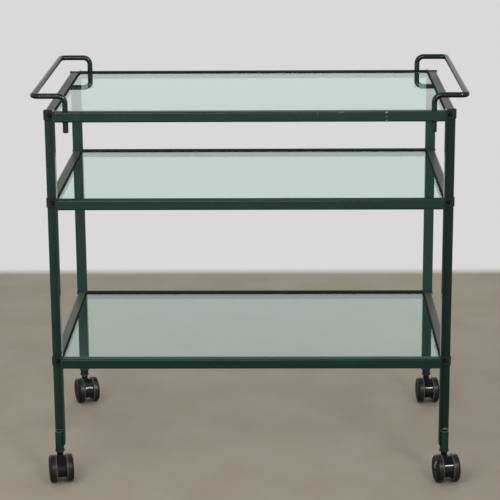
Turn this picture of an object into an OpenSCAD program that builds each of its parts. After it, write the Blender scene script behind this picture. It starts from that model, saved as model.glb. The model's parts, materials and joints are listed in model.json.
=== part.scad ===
// Serving trolley: angle-steel legs, three square-tube shelf frames with glass,
// bent-rod handles over the ends of the top shelf, and four twin-wheel castors.
// Millimetres, +Z up, front towards -Y. The origin is on the floor, in the middle
// of the rectangle that the whole trolley covers.

/* [Cart] */
// Overall width across the legs
cart_w = 740; // [600:10:900]
// Overall depth across the legs
cart_d = 460; // [380:2:560]
// Height of the top shelf frame's upper face
top_z = 702; // [670:1:800]
// Height of the middle shelf frame's upper face
mid_z = 540; // [480:1:590]
// Height of the low shelf frame's upper face
low_z = 237; // [180:1:320]

/* [Legs] */
// Outer width of a leg angle's flanges
leg_w = 19; // [17:0.5:22]
// Thickness of a leg angle's flanges
leg_t = 2.5; // [2:0.1:3]
// Radius of a leg angle's outer corner
leg_r = 1.5; // [0.5:0.1:2]
// Height of a leg's lower end above the floor
leg_foot_z = 67; // [65:1:80]
// How far a leg stands above the top shelf frame
leg_rise = 2; // [0:0.5:4]

/* [Shelf frames] */
// Width of the rails, seen from above
rail_w = 19; // [17:0.5:22]
// Height of the rails
rail_h = 19; // [18:0.5:22]
// Wall of the rails
rail_wall = 1.5; // [1.2:0.1:2]
// Outer corner radius of the rails
rail_r = 3; // [2.5:0.1:4]
// Width of the bars that the glass rests on
ledge_w = 4; // [3:0.5:6]
// Height of the bars that the glass rests on
ledge_h = 4; // [3:0.5:6]
// Distance from a ledge bar's end to the corner of the frame
ledge_short = 6; // [6:1:20]

/* [Glass] */
// Thickness of the glass panes
glass_t = 6; // [4:0.5:6]
// How far the glass lies below a frame's upper face
glass_drop = 2.2; // [1:0.1:4]
// Gap between a pane's edge and the frame
glass_gap = 1; // [0.5:0.1:2]
// Radius of a pane's corners
glass_r = 2.5; // [1:0.5:6]
// Thickness of the pads under the glass
pad_t = 0.8; // [0.5:0.1:1.5]
// Length of the pads under the glass
pad_len = 16; // [8:1:24]
// Distance from a pad's middle to the corner of the frame
pad_in = 70; // [40:5:120]

/* [Corner joints] */
// Thickness of the plates between the joint screws and the legs
plate_t = 3; // [2:0.5:4]
// Height of the plates
plate_h = 17.5; // [14:0.5:20]
// How far a plate stands out past the leg's outer edge
plate_proud = 1.2; // [0.5:0.1:3]
// Radius of a plate's outer front edge
plate_r = 1; // [0.5:0.1:1.5]
// Distance from a frame's upper face down to the middle of its joint screws
screw_drop = 7.5; // [7:0.5:10]
// Diameter of the joint screws' shanks
screw_d = 5; // [4:0.5:5]
// Length of the joint screws' shanks
screw_len = 20; // [18:1:22]
// Diameter of the joint screws' heads
head_d = 6.4; // [6:0.1:7]
// Height of the joint screws' heads
head_h = 1.8; // [1.6:0.1:2.4]
// Width of the joint screws' sockets, across the corners
key_d = 2.8; // [2:0.1:3]
// Depth of the joint screws' sockets
key_depth = 1; // [0.8:0.1:1.2]
// Diameter of the washers under the joint screws' heads
washer_d = 8.6; // [8:0.1:12]
// Thickness of the washers
washer_t = 1.4; // [1:0.1:2]
// Length of the plugs inside the side rails' ends
plug_len = 15; // [14:1:18]
// Clearance around a plug inside its rail
plug_gap = 0.1; // [0.05:0.05:0.2]
// Diameter of the buttons that close the holes under the middle shelf's rails
button_d = 6.5; // [5:0.5:7]
// Height of the buttons
button_h = 1.4; // [1:0.1:2]
// Diameter of the buttons' pegs
peg_d = 3; // [2.5:0.5:3]
// How far a button's peg reaches into its rail
peg_len = 5; // [4:0.5:6]
// Distance from a rail's end to a button's middle
button_in = 11; // [8:0.5:14]

/* [Handles] */
// Diameter of the handle rods
rod_d = 10; // [8:0.5:11]
// Height of a handle's rod above the top shelf frame, to its middle
handle_rise = 28; // [24:0.5:40]
// How far a handle's side bar lies outside the legs, to its middle
handle_out = 19.5; // [14:0.5:26]
// Distance from a leg's outer face to a handle's upright, to its middle
handle_in = 39; // [39:0.5:46]
// Bend radius at the top of a handle's uprights
handle_bend = 13; // [11:0.5:16]
// Bend radius at a handle's outer corners
handle_corner = 12; // [10:0.5:16]
// How far a handle's uprights reach below the rails
handle_stub = 20; // [12:1:30]
// Outer diameter of the lock rings under the rails
ring_d = 15; // [13:0.5:17]
// Thickness of the lock rings
ring_t = 1; // [0.6:0.1:1.5]

/* [Castors] */
// Diameter of the castor wheels
wheel_d = 52; // [48:1:54]
// Width of one wheel
wheel_w = 13; // [13:0.5:16]
// Radius of a wheel's outer edge
wheel_edge = 4; // [3:0.5:5]
// Radius of the raised disc on a wheel's outer face
wheel_disc = 19; // [16:0.5:20]
// Width of the castor body between its wheels
hood_w = 17; // [16:0.5:20]
// Gap between a wheel and the castor body
wheel_gap = 0.5; // [0.3:0.1:1]
// How much smaller the castor body's radius is than the wheels'
hood_less = 1.5; // [1:0.1:3]
// Wall of the castor body's hood
hood_wall = 3; // [2:0.5:4]
// Thickness of the castor body's middle web
hood_web = 5; // [4:0.5:8]
// Height of the castor body's lower edge above the floor
hood_foot_z = 16; // [10:0.5:17]
// Distance from a castor's swivel axis to its axle
trail = 18; // [16:0.5:20]
// Diameter of the axles
axle_d = 6; // [5:0.5:7]
// How far an axle reaches into each wheel
axle_in = 10; // [8:0.5:10.5]
// Diameter of the castor stems
stem_d = 8; // [7:0.5:9]
// Diameter of the castor necks
neck_d = 12.4; // [12:0.2:13]
// Height of a stem's steel shoulder
shoulder_h = 1.2; // [1:0.1:2]
// Outer diameter of the socket tubes on the legs
socket_d = 16; // [14:0.5:16]
// Wall of the socket tubes
socket_wall = 1.5; // [1.2:0.1:2]
// Height of a socket tube's lower end
socket_foot_z = 57; // [56.5:0.5:64]
// Length of a socket tube
socket_len = 36.5; // [32:0.5:50]
// Diameter of the collars under the socket tubes
collar_d = 18; // [16.5:0.5:19]
// Height of the collars under the socket tubes
collar_h = 3.5; // [2:0.1:4]
// Length of the sleeves inside the socket tubes
sleeve_len = 32; // [24:1:34]
// Turn of the front left castor, as it stands
yaw_front_left = 12; // [0:1:360]
// Turn of the front right castor, as it stands
yaw_front_right = 10; // [0:1:360]
// Turn of the back left castor, as it stands
yaw_back_left = 20; // [0:1:360]
// Turn of the back right castor, as it stands
yaw_back_right = 5; // [0:1:360]

/* [Hidden] */
$fn = 64;
// Radial clearance of a shaft that turns in its bore, and of a screw in its hole
run_gap = 0.05;
// Clearance of a rod or screw where it passes through sheet or flange
pass_gap = 0.1;
// Gap between faces that turn over each other
face_gap = 0.3;
// Overlap that lets a cut pass clear of a face
eps = 1;

half_w = cart_w / 2;
half_d = cart_d / 2;
// A frame's corner, measured in from the legs' outer faces
corner_in = max(leg_w, rail_w);
plate_w = leg_w - leg_t + plate_proud;
glass_w = cart_w - 2 * (corner_in + glass_gap);
glass_d = cart_d - 2 * (corner_in + glass_gap);
pad_z = glass_drop + glass_t + pad_t;
tube_in = rail_w - 2 * rail_wall;
plug_w = tube_in - 2 * plug_gap;
plug_h = rail_h - 2 * (rail_wall + plug_gap);
plug_r = rail_r - rail_wall - plug_gap;
rod_r = rod_d / 2;
wheel_r = wheel_d / 2;
hood_r = wheel_r - hood_less;
socket_in = leg_w - leg_t - socket_d / 2;
sleeve_foot_z = socket_foot_z - collar_h;
shoulder_z = sleeve_foot_z - face_gap - shoulder_h;
stem_reach = 20;
stem_top_z = socket_foot_z + sleeve_len - 2;
axle_half = hood_w / 2 + wheel_gap + axle_in;
yaws = [[yaw_front_left, yaw_front_right], [yaw_back_left, yaw_back_right]];
shelf_z = [low_z, mid_z, top_z];

// How far a castor reaches from its swivel axis towards the front or the back
function castor_reach(yaw, way) = way * trail * -cos(yaw) + wheel_edge
    + (wheel_r - wheel_edge) * abs(cos(yaw))
    + (hood_w / 2 + wheel_gap + wheel_w - wheel_edge) * abs(sin(yaw));
stem_y = half_d - socket_in;
front_reach = max(half_d, stem_y + max(castor_reach(yaw_front_left, -1),
    castor_reach(yaw_front_right, -1)));
back_reach = max(half_d, stem_y + max(castor_reach(yaw_back_left, 1),
    castor_reach(yaw_back_right, 1)));
// The frame's middle, set so that the origin is in the middle of all that is drawn
mid_y = (front_reach - back_reach) / 2;

// Corner numbers: side 0 is left and 1 is right, end 0 is front and 1 is back.
// A child is drawn for the front left corner, from the legs' outer faces inwards.
module at_corner(side, end) {
    translate([0, mid_y, 0]) mirror([side, 0, 0]) mirror([0, end, 0])
        translate([-half_w, -half_d, 0]) children();
}

module each_corner() {
    for (side = [0, 1], end = [0, 1]) at_corner(side, end) children();
}

function arc(cx, cy, r, from, to, n) =
    [for (i = [0 : n]) let (a = from + (to - from) * i / n) [cx + r * cos(a), cy + r * sin(a)]];

module rounded_rect(w, h, r) {
    translate([r, 0]) square([w - 2 * r, h]);
    translate([0, r]) square([w, h - 2 * r]);
    for (x = [r, w - r], y = [r, h - r]) translate([x, y]) circle(r);
}

// Legs and their castor sockets

module angle_outline() {
    inner = leg_w - leg_t;
    polygon(concat([[0, inner], [inner, inner], [inner, 0], [leg_w, 0]],
        arc(leg_w - leg_r, leg_w - leg_r, leg_r, 0, 90, 8), [[0, leg_w]]));
}

// A hole at each shelf for the joint screw
module leg_holes() {
    for (z = shelf_z) at_joint(z) translate([0, 0, -leg_w])
        cylinder(h = 2 * leg_w, r = screw_d / 2 + pass_gap);
}

module leg(side, end) {
    color("#28443c") at_corner(side, end) difference() {
        translate([0, 0, leg_foot_z])
            linear_extrude(top_z + leg_rise - leg_foot_z) angle_outline();
        leg_holes();
    }
}

module socket(side, end) {
    color("#28443c") at_corner(side, end) translate([socket_in, socket_in, socket_foot_z])
        difference() {
            cylinder(h = socket_len, d = socket_d);
            translate([0, 0, -eps]) cylinder(h = socket_len + 2 * eps, d = socket_d - 2 * socket_wall);
        }
}

// Shelf frames

module rail_tube(length) {
    linear_extrude(length) difference() {
        rounded_rect(rail_w, rail_h, rail_r);
        translate([rail_wall, rail_wall])
            rounded_rect(tube_in, rail_h - 2 * rail_wall, rail_r - rail_wall);
    }
}

// A front or back rail of the shelf at height z. The top ones let the handles
// through, and the middle ones have holes for the buttons.
module long_rail(z, end) {
    color("#28443c") translate([0, mid_y, 0]) mirror([0, end, 0]) translate([0, -half_d, 0])
        difference() {
            translate([-half_w + leg_w, 0, z - rail_h]) rotate([90, 0, 90])
                rail_tube(cart_w - 2 * leg_w);
            for (side = [-1, 1]) translate([0, rail_w / 2, z - rail_h - eps]) {
                if (z == mid_z) translate([side * (half_w - leg_w - button_in), 0, 0])
                    cylinder(h = rail_wall + 2 * eps, r = peg_d / 2 + pass_gap);
                if (z == top_z) translate([side * (half_w - handle_in), 0, 0])
                    cylinder(h = rail_h + 2 * eps, r = rod_r + pass_gap);
            }
        }
}

module side_rail(z, side) {
    color("#28443c") translate([0, mid_y, 0]) mirror([side, 0, 0])
        translate([-half_w + rail_w, -half_d + leg_w, z - rail_h]) rotate([90, 0, 180])
            rail_tube(cart_d - 2 * leg_w);
}

// Four bars along the inside of a frame, which the glass rests on
module ledges(z) {
    long = cart_w - 2 * (corner_in + ledge_short);
    side = cart_d - 2 * (corner_in + ledge_short);
    color("#28443c") translate([0, mid_y, z - pad_z - ledge_h]) {
        for (end = [0, 1]) mirror([0, end, 0])
            translate([-long / 2, -half_d + rail_w, 0]) cube([long, ledge_w, ledge_h]);
        for (end = [0, 1]) mirror([end, 0, 0])
            translate([-half_w + rail_w, -side / 2, 0]) cube([ledge_w, side, ledge_h]);
    }
}

module glass(z) {
    color("#9fc8be", 0.6) translate([-glass_w / 2, mid_y - glass_d / 2, z - glass_drop - glass_t])
        linear_extrude(glass_t) rounded_rect(glass_w, glass_d, glass_r);
}

module glass_pads() {
    color("#20201e") for (z = shelf_z) each_corner() {
        translate([corner_in + pad_in - pad_len / 2, rail_w, z - pad_z]) cube([pad_len, ledge_w, pad_t]);
        translate([rail_w, corner_in + pad_in - pad_len / 2, z - pad_z]) cube([ledge_w, pad_len, pad_t]);
    }
}

// Corner joints: in each leg a plate, a washer and a screw, which enters a plug in
// the side rail's end. The front and back rails are welded to the legs.

// Places a child on a joint's axis, with z = 0 at the plate's front face and +Z outwards
module at_joint(z) {
    translate([rail_w / 2, leg_w - leg_t - plate_t, z - screw_drop]) rotate([90, 0, 0]) children();
}

module corner_plates(z) {
    color("#1b1c1b") each_corner() difference() {
        translate([-plate_proud, leg_w - leg_t - plate_t, z - screw_drop - plate_h / 2])
            linear_extrude(plate_h) polygon(concat(arc(plate_r, plate_r, plate_r, 180, 270, 8),
                [[plate_w, 0], [plate_w, plate_t], [0, plate_t]]));
        at_joint(z) translate([0, 0, -plate_t - eps])
            cylinder(h = plate_t + 2 * eps, r = screw_d / 2 + pass_gap);
    }
}

module joint_washers() {
    color("#232423") for (z = shelf_z) each_corner() at_joint(z) difference() {
        cylinder(h = washer_t, d1 = washer_d, d2 = washer_d - washer_t);
        translate([0, 0, -eps]) cylinder(h = washer_t + 2 * eps, r = screw_d / 2 + pass_gap);
    }
}

module joint_screws() {
    color("#85857c") for (z = shelf_z) each_corner() at_joint(z) translate([0, 0, washer_t]) difference() {
        union() {
            translate([0, 0, -screw_len]) cylinder(h = screw_len, d = screw_d);
            cylinder(h = head_h / 2, d = head_d);
            translate([0, 0, head_h / 2]) cylinder(h = head_h / 2, d1 = head_d, d2 = head_d - head_h);
        }
        translate([0, 0, head_h - key_depth]) cylinder(h = key_depth + eps, d = key_d, $fn = 6);
    }
}

module rail_plugs() {
    color("#1b1c1b") for (z = shelf_z) each_corner() difference() {
        translate([(rail_w - plug_w) / 2, leg_w + plug_len, z - (rail_h + plug_h) / 2])
            rotate([90, 0, 0]) linear_extrude(plug_len) rounded_rect(plug_w, plug_h, plug_r);
        at_joint(z) translate([0, 0, -2 * leg_w - plug_len])
            cylinder(h = 2 * leg_w + plug_len, r = screw_d / 2 + run_gap);
    }
}

// Buttons in the undersides of the middle shelf's front and back rails
module rail_buttons() {
    color("#1b1c1b") each_corner() translate([leg_w + button_in, rail_w / 2, mid_z - rail_h]) {
        translate([0, 0, -button_h]) cylinder(h = button_h, d1 = button_d - button_h, d2 = button_d);
        translate([0, 0, -button_h / 2]) cylinder(h = peg_len + button_h / 2, d = peg_d);
    }
}

// Handles

module elbow(r) {
    rotate_extrude(angle = 90) translate([r, 0]) circle(rod_r);
}

// The front half of a handle, for the left side, measured as for a corner
module half_handle() {
    foot = top_z - rail_h - handle_stub;
    rod_z = top_z + handle_rise;
    bar_x = -handle_out;
    y = rail_w / 2;
    translate([handle_in, y, foot]) cylinder(h = rod_z - handle_bend - foot, r = rod_r);
    translate([handle_in - handle_bend, y, rod_z - handle_bend]) rotate([90, 0, 0]) elbow(handle_bend);
    translate([bar_x + handle_corner, y, rod_z]) rotate([0, 90, 0])
        cylinder(h = handle_in - handle_bend - bar_x - handle_corner, r = rod_r);
    translate([bar_x + handle_corner, y + handle_corner, rod_z]) rotate([0, 0, 180]) elbow(handle_corner);
    translate([bar_x, y + handle_corner, rod_z]) rotate([-90, 0, 0])
        cylinder(h = half_d - y - handle_corner, r = rod_r);
}

module handle(side) {
    color("#22342f") for (end = [0, 1]) at_corner(side, end) half_handle();
}

// Push-on rings that hold the handles' uprights under the rails
module handle_rings() {
    color("#1f2422") each_corner()
        translate([handle_in, rail_w / 2, top_z - rail_h - ring_t]) difference() {
            cylinder(h = ring_t, d = ring_d);
            translate([0, 0, -eps]) cylinder(h = ring_t + 2 * eps, r = rod_r + run_gap);
        }
}

// Castors: drawn with the swivel axis on Z and the axle towards the front, then turned

module castor_sleeves() {
    color("#1b1c1b") each_corner() translate([socket_in, socket_in, 0]) difference() {
        union() {
            translate([0, 0, sleeve_foot_z]) cylinder(h = collar_h, d = collar_d);
            translate([0, 0, sleeve_foot_z])
                cylinder(h = collar_h + sleeve_len, r = socket_d / 2 - socket_wall - run_gap);
        }
        translate([0, 0, sleeve_foot_z - eps])
            cylinder(h = collar_h + sleeve_len + 2 * eps, r = stem_d / 2 + run_gap);
    }
}

module at_castor(side, end) {
    translate([(2 * side - 1) * (half_w - socket_in), mid_y + (2 * end - 1) * stem_y, 0])
        rotate([0, 0, yaws[end][side]]) children();
}

module stem(side, end) {
    color("#a9a9a4") at_castor(side, end) {
        translate([0, 0, shoulder_z - stem_reach])
            cylinder(h = stem_top_z - shoulder_z + stem_reach, d = stem_d);
        translate([0, 0, shoulder_z]) cylinder(h = shoulder_h, d = neck_d);
    }
}

// A drum between the wheels with a pocket on each side, cut open at the floor
module hood(side, end) {
    pocket = (hood_w - hood_web) / 2;
    color("#171819") at_castor(side, end) difference() {
        union() {
            intersection() {
                translate([-hood_w / 2, -trail, wheel_r]) rotate([0, 90, 0]) difference() {
                    cylinder(h = hood_w, r = hood_r);
                    for (z = [-eps, hood_w - pocket])
                        translate([0, 0, z]) cylinder(h = pocket + eps, r = hood_r - hood_wall);
                }
                translate([-hood_w, -trail - wheel_d, hood_foot_z])
                    cube([2 * hood_w, 2 * wheel_d, wheel_d]);
            }
            translate([-hood_w / 2, -trail, wheel_r]) rotate([0, 90, 0]) cylinder(h = hood_w, d = 2 * axle_d);
            translate([0, 0, wheel_r]) cylinder(h = shoulder_z - wheel_r, d = neck_d);
        }
        translate([-hood_w, -trail, wheel_r]) rotate([0, 90, 0])
            cylinder(h = 2 * hood_w, r = axle_d / 2 + run_gap);
        translate([0, 0, shoulder_z - stem_reach]) cylinder(h = stem_reach + eps, r = stem_d / 2 + run_gap);
    }
}

module axle(side, end) {
    color("#a9a9a4") at_castor(side, end) translate([-axle_half, -trail, wheel_r])
        rotate([0, 90, 0]) cylinder(h = 2 * axle_half, d = axle_d);
}

// Half section of a wheel: distance from the axle, then distance from its inner face
function wheel_section() =
    let (hub_r = axle_d / 2 + 4.5, rim_r = wheel_r - 5, hollow = wheel_w / 2, dish = 0.8, ease = 0.8)
    concat([[axle_d / 2 + run_gap, axle_in + run_gap], [axle_d / 2 + run_gap, 0], [hub_r, 0],
        [hub_r, hollow], [rim_r, hollow], [rim_r, 0], [wheel_r - ease, 0]],
        arc(wheel_r - ease, ease, ease, -90, 0, 4),
        arc(wheel_r - wheel_edge, wheel_w - wheel_edge, wheel_edge, 0, 80, 10),
        [[wheel_disc + ease, wheel_w - dish], [wheel_disc, wheel_w - dish],
        [wheel_disc - ease, wheel_w - dish / 4], [wheel_disc / 2, wheel_w], [0, wheel_w],
        [0, axle_in + run_gap]]);

// Wheel a is on the castor's left and wheel b on its right
module wheel(side, end, hand) {
    color("#2a2a26") at_castor(side, end) mirror([1 - hand, 0, 0])
        translate([hood_w / 2 + wheel_gap, -trail, wheel_r]) rotate([0, 90, 0])
            rotate_extrude() polygon(wheel_section());
}

leg(0, 0);  // leg_front_left
leg(1, 0);  // leg_front_right
leg(0, 1);  // leg_back_left
leg(1, 1);  // leg_back_right
socket(0, 0);  // socket_front_left
socket(1, 0);  // socket_front_right
socket(0, 1);  // socket_back_left
socket(1, 1);  // socket_back_right
long_rail(low_z, 0);  // rail_low_front
long_rail(low_z, 1);  // rail_low_back
side_rail(low_z, 0);  // rail_low_left
side_rail(low_z, 1);  // rail_low_right
long_rail(mid_z, 0);  // rail_mid_front
long_rail(mid_z, 1);  // rail_mid_back
side_rail(mid_z, 0);  // rail_mid_left
side_rail(mid_z, 1);  // rail_mid_right
long_rail(top_z, 0);  // rail_top_front
long_rail(top_z, 1);  // rail_top_back
side_rail(top_z, 0);  // rail_top_left
side_rail(top_z, 1);  // rail_top_right
glass(low_z);  // glass_low
glass(mid_z);  // glass_mid
glass(top_z);  // glass_top
ledges(low_z);  // ledges_low
ledges(mid_z);  // ledges_mid
ledges(top_z);  // ledges_top
glass_pads();
corner_plates(low_z);  // corner_plates_low
corner_plates(mid_z);  // corner_plates_mid
corner_plates(top_z);  // corner_plates_top
joint_washers();
joint_screws();
rail_plugs();
rail_buttons();
handle(0);  // handle_left
handle(1);  // handle_right
handle_rings();
castor_sleeves();
stem(0, 0);  // stem_front_left
hood(0, 0);  // hood_front_left
axle(0, 0);  // axle_front_left
wheel(0, 0, 0);  // wheel_a_front_left
wheel(0, 0, 1);  // wheel_b_front_left
stem(1, 0);  // stem_front_right
hood(1, 0);  // hood_front_right
axle(1, 0);  // axle_front_right
wheel(1, 0, 0);  // wheel_a_front_right
wheel(1, 0, 1);  // wheel_b_front_right
stem(0, 1);  // stem_back_left
hood(0, 1);  // hood_back_left
axle(0, 1);  // axle_back_left
wheel(0, 1, 0);  // wheel_a_back_left
wheel(0, 1, 1);  // wheel_b_back_left
stem(1, 1);  // stem_back_right
hood(1, 1);  // hood_back_right
axle(1, 1);  // axle_back_right
wheel(1, 1, 0);  // wheel_a_back_right
wheel(1, 1, 1);  // wheel_b_back_right
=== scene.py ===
# %% [markdown]
# # A serving trolley in painted steel, glass and black plastic
# The trolley is already built as solids, in its real sizes. Here it gets its looks: paint with
# a shine, glass with a green tint, worn castors, and the small softened edges that catch light.
# We start by loading the solids, because every new piece has to sit exactly where they are.

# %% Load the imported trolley
import json
import math

import bmesh
import bpy
from mathutils import Matrix, Vector


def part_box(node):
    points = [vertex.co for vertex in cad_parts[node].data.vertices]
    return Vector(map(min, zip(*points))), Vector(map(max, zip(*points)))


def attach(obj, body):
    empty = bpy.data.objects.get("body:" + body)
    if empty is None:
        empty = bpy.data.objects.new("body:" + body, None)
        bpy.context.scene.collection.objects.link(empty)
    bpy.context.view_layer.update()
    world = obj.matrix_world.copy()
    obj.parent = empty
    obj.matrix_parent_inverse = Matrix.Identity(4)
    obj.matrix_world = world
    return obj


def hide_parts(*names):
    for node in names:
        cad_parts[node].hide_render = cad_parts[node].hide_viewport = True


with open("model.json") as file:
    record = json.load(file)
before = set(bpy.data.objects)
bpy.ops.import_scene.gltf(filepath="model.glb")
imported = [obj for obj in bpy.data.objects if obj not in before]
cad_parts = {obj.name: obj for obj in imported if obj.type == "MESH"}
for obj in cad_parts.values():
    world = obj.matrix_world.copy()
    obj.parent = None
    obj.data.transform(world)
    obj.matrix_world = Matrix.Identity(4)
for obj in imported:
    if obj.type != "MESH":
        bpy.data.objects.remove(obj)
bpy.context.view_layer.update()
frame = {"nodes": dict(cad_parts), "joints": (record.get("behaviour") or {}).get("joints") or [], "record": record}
nodes = frame["nodes"]
record = frame["record"]
body_of_node = {n: body for body, members in record["behaviour"]["bodies"].items() for n in members}
slot_of_node = {s["node"]: s["material_slot"] for s in record["subparts"]}
MM = 0.001

# %% [markdown]
# ## The camera
# A picture taken with a long lens from standing height looks down a little on the trolley.
# The numbers come from fitting the trolley's own straight edges to the photograph, which gives
# the eye point, three angles and the length of the lens in pixels of a 500 pixel picture.

# %% Camera
PICTURE_PX = 500
FOCAL_PX = 1826.9
AXIS_PX = (253.5, 246.4)
EYE = Vector((0.0607, -3.4316, 1.304))
PITCH, YAW, ROLL = 0.2584, -0.0170, -0.0062
SENSOR_MM = 36
FAR_LIMIT = 50

forward = Vector((math.sin(YAW) * math.cos(PITCH), math.cos(YAW) * math.cos(PITCH), -math.sin(PITCH)))
level_right = Vector((math.cos(YAW), -math.sin(YAW), 0))
level_up = level_right.cross(forward)
right = level_right * math.cos(ROLL) + level_up * math.sin(ROLL)
up = level_up * math.cos(ROLL) - level_right * math.sin(ROLL)

lens = bpy.data.cameras.new("camera")
lens.sensor_width = SENSOR_MM
lens.lens = FOCAL_PX * SENSOR_MM / PICTURE_PX
lens.shift_x = (PICTURE_PX / 2 - AXIS_PX[0]) / PICTURE_PX
lens.shift_y = (AXIS_PX[1] - PICTURE_PX / 2) / PICTURE_PX
lens.clip_end = FAR_LIMIT
camera = bpy.data.objects.new("camera", lens)
camera.matrix_world = Matrix.Translation(EYE) @ Matrix((right, up, -forward)).transposed().to_4x4()
bpy.context.scene.collection.objects.link(camera)
bpy.context.scene.camera = camera
bpy.context.scene.view_settings.view_transform = "Standard"
print("lens", round(lens.lens, 1), "mm")

# %% [markdown]
# ## Helpers for shader trees
# Every finish below is a small tree of shader nodes. A few helpers keep the cells short. One
# makes a material and hands back its main shader, one adds a node and feeds its inputs, and
# the others are the steps that come again and again: noise, a new range, a blend, a scratch.


# %% Shader helpers
def new_material(name):
    """A material with one Principled shader. Returns the material, its tree and the shader."""
    material = bpy.data.materials.new(name)
    material.use_nodes = True
    tree = material.node_tree
    return material, tree, tree.nodes["Principled BSDF"]


def feed(node, inputs):
    """Gives inputs a value each, or links them to another node's output."""
    for key, value in inputs.items():
        if isinstance(value, bpy.types.NodeSocket):
            node.id_data.links.new(value, node.inputs[key])
        else:
            node.inputs[key].default_value = value


def add(tree, kind, settings=None, **inputs):
    """Adds a node and feeds it. in0 is its first input."""
    node = tree.nodes.new(kind)
    for key, value in (settings or {}).items():
        setattr(node, key, value)
    feed(node, {int(key[2:]) if key[2:].isdigit() else key: value for key, value in inputs.items()})
    return node


def srgb(r, g, b):
    """A colour read off a screen, 0 to 255, as the linear colour that shaders use."""
    shares = [c / 255 for c in (r, g, b)]
    return tuple(c / 12.92 if c <= 0.04 else ((c + 0.055) / 1.055) ** 2.4 for c in shares) + (1,)


def scaled(colour, factor):
    """The same colour, lighter or darker."""
    return tuple(min(1.0, c * factor) for c in colour[:3]) + (1,)


def noise(tree, scale, detail=2.0, roughness=0.5, stretch=(1, 1, 1)):
    """Noise on the object's own coordinates, in cycles per metre."""
    place = add(tree, "ShaderNodeTexCoord")
    turned = add(tree, "ShaderNodeMapping", Vector=place.outputs["Object"], Scale=stretch)
    return add(tree, "ShaderNodeTexNoise", Vector=turned.outputs["Vector"], Scale=scale,
               Detail=detail, Roughness=roughness).outputs["Fac"]


def remap(tree, value, low, high, to_low=0.0, to_high=1.0):
    """Spreads the part of a value between low and high over a new range."""
    return add(tree, "ShaderNodeMapRange", Value=value, **{
        "From Min": low, "From Max": high, "To Min": to_low, "To Max": to_high}).outputs["Result"]


def mixed(tree, amount, first, second):
    """Blends two colours by an amount."""
    blend = add(tree, "ShaderNodeMix", {"data_type": "RGBA"}, in0=amount, in6=first, in7=second)
    return blend.outputs[2]


def maths(tree, operation, first, second=0.0, clamp=False):
    """One step of arithmetic on numbers."""
    return add(tree, "ShaderNodeMath", {"operation": operation, "use_clamp": clamp},
               in0=first, in1=second).outputs[0]


def vector_maths(tree, operation, first, second=(0, 0, 0), **more):
    """One step of arithmetic on vectors. A product or a distance comes out as a number."""
    step = add(tree, "ShaderNodeVectorMath", {"operation": operation}, in0=first, in1=second, **more)
    return step.outputs["Value" if operation in ("DOT_PRODUCT", "DISTANCE") else "Vector"]


def lowness(tree):
    """How low the eye is over a surface: 0 face on, 1 from the side."""
    return add(tree, "ShaderNodeLayerWeight", Blend=0.5).outputs["Facing"]


def banded(tree, value, stops):
    """A brightness that follows a value from -1 to 1 through (value, brightness) stops."""
    spread = remap(tree, value, -1.0, 1.0)
    made = add(tree, "ShaderNodeValToRGB", in0=spread)
    ramp = made.color_ramp
    while len(ramp.elements) < len(stops):
        ramp.elements.new(0.5)
    for element, (at, level) in zip(ramp.elements, stops):
        element.position = (at + 1) / 2
        element.color = (level, level, level, 1)
    return made.outputs["Color"]


def bump(tree, shader, height, distance):
    """Lets a height pattern tilt the surface without moving it."""
    made = add(tree, "ShaderNodeBump", Height=height, Distance=distance, Strength=1.0)
    feed(shader, {"Normal": made.outputs["Normal"]})


def scratched(tree, colour, pale, marks):
    """Pale marks on a colour, from point to point: (start, end, half width, strength)."""
    spot = add(tree, "ShaderNodeTexCoord").outputs["Object"]
    for start, end, half_width, strength in marks:
        along = Vector(end) - Vector(start)
        away = vector_maths(tree, "SUBTRACT", spot, start)
        share = vector_maths(tree, "DOT_PRODUCT", away, along / along.length_squared)
        held = add(tree, "ShaderNodeClamp", Value=share).outputs[0]
        nearest = vector_maths(tree, "SCALE", along, Scale=held)
        gap = vector_maths(tree, "DISTANCE", away, nearest)
        shown = remap(tree, gap, half_width, 1.4 * half_width, strength, 0.0)
        colour = mixed(tree, shown, colour, pale)
    return colour


# %% [markdown]
# ## Floor, background and light
# The trolley stands on a plain pale floor that fades out into a light background. The
# background is only a colour of the world, seen by the eye and through glass. Gloss mirrors a
# room instead: bright behind the trolley, dim in front of it, dark above. A separate, even
# light reaches the matt surfaces, so a colour renders about as it is written.

# %% Floor
FLOOR_HALF = 1.24
FADE_HALF = 0.03
FLOOR_REACH = 2
floor_mesh = bpy.data.meshes.new("floor")
corners = [(x * FLOOR_REACH, y * FLOOR_REACH, 0) for x, y in ((-1, -1), (1, -1), (1, 1), (-1, 1))]
floor_mesh.from_pydata(corners, [], [(0, 1, 2, 3)])
floor = bpy.data.objects.new("floor", floor_mesh)
bpy.context.scene.collection.objects.link(floor)

floor_material, tree, shader = new_material("pale_floor")
tone = remap(tree, noise(tree, 7.0, 3.0), 0.35, 0.65)
feed(shader, {"Base Color": mixed(tree, tone, srgb(155, 145, 129), srgb(161, 152, 137)),
              "Roughness": 0.8, "Specular IOR Level": 0.2})
parts = add(tree, "ShaderNodeSeparateXYZ", Vector=add(tree, "ShaderNodeTexCoord").outputs["Object"])
far_x, far_y = [maths(tree, "ABSOLUTE", parts.outputs[axis]) for axis in "XY"]
far = maths(tree, "MAXIMUM", far_x, far_y)
faded = remap(tree, far, FLOOR_HALF - FADE_HALF, FLOOR_HALF + FADE_HALF)
clear = add(tree, "ShaderNodeBsdfTransparent")
both = add(tree, "ShaderNodeMixShader", in0=faded, in1=shader.outputs[0], in2=clear.outputs[0])
feed(tree.nodes["Material Output"], {"Surface": both.outputs[0]})
floor_mesh.materials.append(floor_material)
floor.visible_glossy = False
print("floor", 2 * FLOOR_HALF, "m across before it fades out")

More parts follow.
